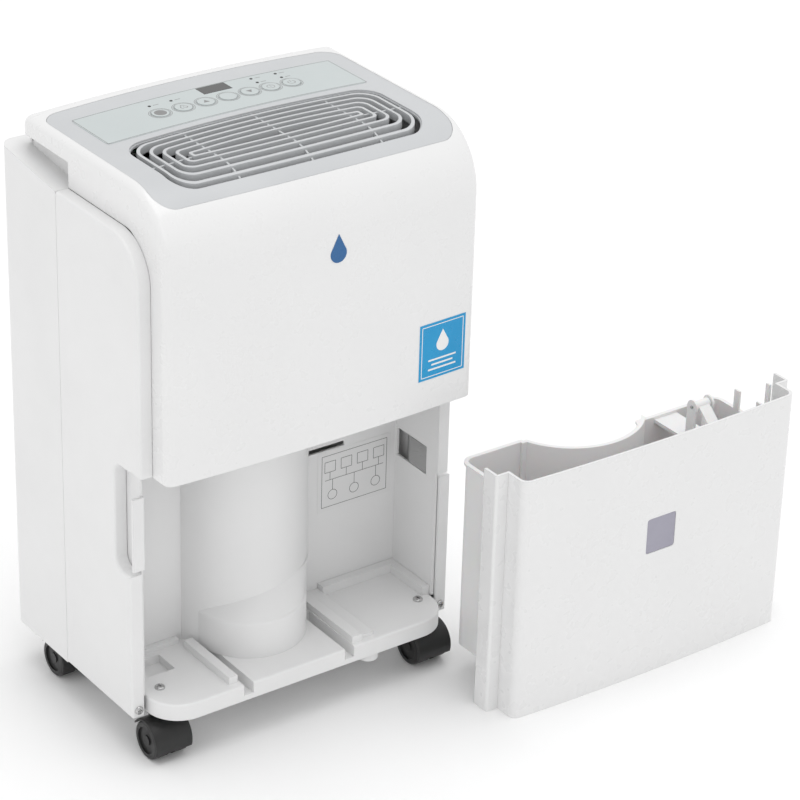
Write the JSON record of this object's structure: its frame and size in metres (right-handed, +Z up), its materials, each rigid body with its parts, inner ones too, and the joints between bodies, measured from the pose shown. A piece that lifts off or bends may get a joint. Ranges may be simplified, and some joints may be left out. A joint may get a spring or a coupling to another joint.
{
  "type": "dehumidifier",
  "caption": "Portable room dehumidifier on twin-wheel casters, with a curved white casing, a grey deck with an air vent and keys, and a pull-out water bucket standing beside it.",
  "frame": {"origin": "on the floor, midway between the machine's two sides and below the middle of its depth", "axes": "+Z up, the machine's front and the bucket's front face -Y, +X to the right seen from the front"},
  "size_m": [0.718, 0.3994, 0.6098],
  "materials": {
    "white_abs": "glossy white ABS",
    "grey_inset": "satin light grey ABS",
    "control_film": "satin printed film",
    "display_black": "gloss smoked window",
    "led_lens": "small smoked lens",
    "key_grey": "satin key cap",
    "circuit_board": "green laminate",
    "zinc_screw": "bright zinc",
    "black_nylon": "moulded black nylon",
    "motor_steel": "plain steel",
    "coil_aluminium": "mill finish fins",
    "compressor_paint": "black paint",
    "black_rubber": "moulded rubber",
    "copper_pipe": "drawn copper",
    "capacitor_can": "drawn aluminium can",
    "filter_mesh": "dark polypropylene frame and mesh",
    "spring_steel": "bright strip",
    "drain_grey": "grey spout",
    "label_paper": "printed paper label",
    "blue_label": "printed blue film",
    "emblem_print": "printed mark",
    "window_tint": "smoked clear window",
    "float_foam": "white closed-cell foam"
  },
  "bodies": {
    "housing": {"base_tray": "white_abs", "bay_liner": "white_abs", "bucket_switch": "black_nylon", "capacitor": "capacitor_can", "casing_screws": "zinc_screw", "caster_bushes": "black_nylon", "compressor": "compressor_paint", "compressor_mounts": "black_rubber", "condenser": "coil_aluminium", "control_board": "circuit_board", "control_overlay": "control_film", "cord_gland": "black_rubber", "deck_panel": "grey_inset", "display_window": "display_black", "drain_spout": "drain_grey", "drip_pan": "white_abs", "emblem": "emblem_print", "evaporator": "coil_aluminium", "fan_motor": "motor_steel", "fan_scroll": "black_nylon", "front_casing": "white_abs", "front_label": "blue_label", "intake_grille": "white_abs", "rear_cover": "white_abs", "refrigerant_pipes": "copper_pipe", "side_panel_left": "white_abs", "side_panel_right": "white_abs", "status_leds": "led_lens", "support_foot": "white_abs", "tray_screws": "zinc_screw", "vent_grille": "grey_inset", "wiring_label": "label_paper"},
    "caster_front_left": {"caster_fork_front_left": "black_nylon"},
    "wheels_front_left": {"caster_wheels_front_left": "black_nylon"},
    "caster_front_right": {"caster_fork_front_right": "black_nylon"},
    "wheels_front_right": {"caster_wheels_front_right": "black_nylon"},
    "caster_rear_left": {"caster_fork_rear_left": "black_nylon"},
    "wheels_rear_left": {"caster_wheels_rear_left": "black_nylon"},
    "caster_rear_right": {"caster_fork_rear_right": "black_nylon"},
    "wheels_rear_right": {"caster_wheels_rear_right": "black_nylon"},
    "key_pump_cap": {"key_pump": "key_grey"},
    "key_fan_cap": {"key_fan": "key_grey"},
    "key_up_cap": {"key_up": "key_grey"},
    "key_mode_cap": {"key_mode": "key_grey"},
    "key_down_cap": {"key_down": "key_grey"},
    "key_timer_cap": {"key_timer": "key_grey"},
    "key_power_cap": {"key_power": "key_grey"},
    "filter": {"air_filter": "filter_mesh"},
    "fan": {"fan_wheel": "black_nylon", "fan_shaft": "motor_steel"},
    "lever": {"switch_lever": "spring_steel"},
    "drain_plug": {"drain_cap": "black_rubber"},
    "bucket": {"bucket_fascia": "white_abs", "bucket_tub": "white_abs", "level_window": "window_tint", "float_pin": "motor_steel"},
    "float": {"float_arm": "white_abs", "float_block": "float_foam"}
  },
  "joints": [
    {"name": "swivel_front_left", "type": "hinge", "parent": "housing", "child": "caster_front_left", "pos_m": [-0.157, -0.082, 0.049], "axis": [0, 0, 1], "continuous": true},
    {"name": "roll_front_left", "type": "hinge", "parent": "caster_front_left", "child": "wheels_front_left", "pos_m": [-0.157, -0.095, 0.02], "axis": [1, 0, 0], "continuous": true},
    {"name": "swivel_front_right", "type": "hinge", "parent": "housing", "child": "caster_front_right", "pos_m": [0.157, -0.082, 0.049], "axis": [0, 0, 1], "continuous": true},
    {"name": "roll_front_right", "type": "hinge", "parent": "caster_front_right", "child": "wheels_front_right", "pos_m": [0.157, -0.095, 0.02], "axis": [1, 0, 0], "continuous": true},
    {"name": "swivel_rear_left", "type": "hinge", "parent": "housing", "child": "caster_rear_left", "pos_m": [-0.157, 0.098, 0.049], "axis": [0, 0, 1], "continuous": true},
    {"name": "roll_rear_left", "type": "hinge", "parent": "caster_rear_left", "child": "wheels_rear_left", "pos_m": [-0.157, 0.085, 0.02], "axis": [1, 0, 0], "continuous": true},
    {"name": "swivel_rear_right", "type": "hinge", "parent": "housing", "child": "caster_rear_right", "pos_m": [0.157, 0.098, 0.049], "axis": [0, 0, 1], "continuous": true},
    {"name": "roll_rear_right", "type": "hinge", "parent": "caster_rear_right", "child": "wheels_rear_right", "pos_m": [0.157, 0.085, 0.02], "axis": [1, 0, 0], "continuous": true},
    {"name": "press_pump", "type": "slide", "parent": "housing", "child": "key_pump_cap", "axis": [0, 0, -1], "range_m": [0, 0.0005], "stiffness_N_per_m": 1500, "springref_m": -0.0003},
    {"name": "press_fan", "type": "slide", "parent": "housing", "child": "key_fan_cap", "axis": [0, 0, -1], "range_m": [0, 0.0005], "stiffness_N_per_m": 1500, "springref_m": -0.0003},
    {"name": "press_up", "type": "slide", "parent": "housing", "child": "key_up_cap", "axis": [0, 0, -1], "range_m": [0, 0.0005], "stiffness_N_per_m": 1500, "springref_m": -0.0003},
    {"name": "press_mode", "type": "slide", "parent": "housing", "child": "key_mode_cap", "axis": [0, 0, -1], "range_m": [0, 0.0005], "stiffness_N_per_m": 1500, "springref_m": -0.0003},
    {"name": "press_down", "type": "slide", "parent": "housing", "child": "key_down_cap", "axis": [0, 0, -1], "range_m": [0, 0.0005], "stiffness_N_per_m": 1500, "springref_m": -0.0003},
    {"name": "press_timer", "type": "slide", "parent": "housing", "child": "key_timer_cap", "axis": [0, 0, -1], "range_m": [0, 0.0005], "stiffness_N_per_m": 1500, "springref_m": -0.0003},
    {"name": "press_power", "type": "slide", "parent": "housing", "child": "key_power_cap", "axis": [0, 0, -1], "range_m": [0, 0.0005], "stiffness_N_per_m": 1500, "springref_m": -0.0003},
    {"name": "filter_lift", "type": "slide", "parent": "housing", "child": "filter", "axis": [0, 0, 1], "range_m": [0, 0.235]},
    {"name": "fan_spin", "type": "hinge", "parent": "housing", "child": "fan", "pos_m": [0, -0.037, 0.452], "axis": [0, 1, 0], "continuous": true},
    {"name": "lever_press", "type": "hinge", "parent": "housing", "child": "lever", "pos_m": [0.1753, -0.047, 0.217], "axis": [0, 0, 1], "range_deg": [0, 3.5], "stiffness_Nm_per_rad": 0.05, "springref_deg": -5.73},
    {"name": "cap_pull", "type": "slide", "parent": "housing", "child": "drain_plug", "axis": [0, 1, 0], "range_m": [0, 0.02]},
    {"name": "bucket_carry", "type": "slide", "parent": "housing", "child": "bucket", "axis": [-0.9906, 0, 0.1369], "range_m": [0, 0.34323]},
    {"name": "float_rise", "type": "hinge", "parent": "bucket", "child": "float", "pos_m": [0.437, -0.184, 0.256], "axis": [-1, 0, 0], "range_deg": [0, 13]}
  ]
}
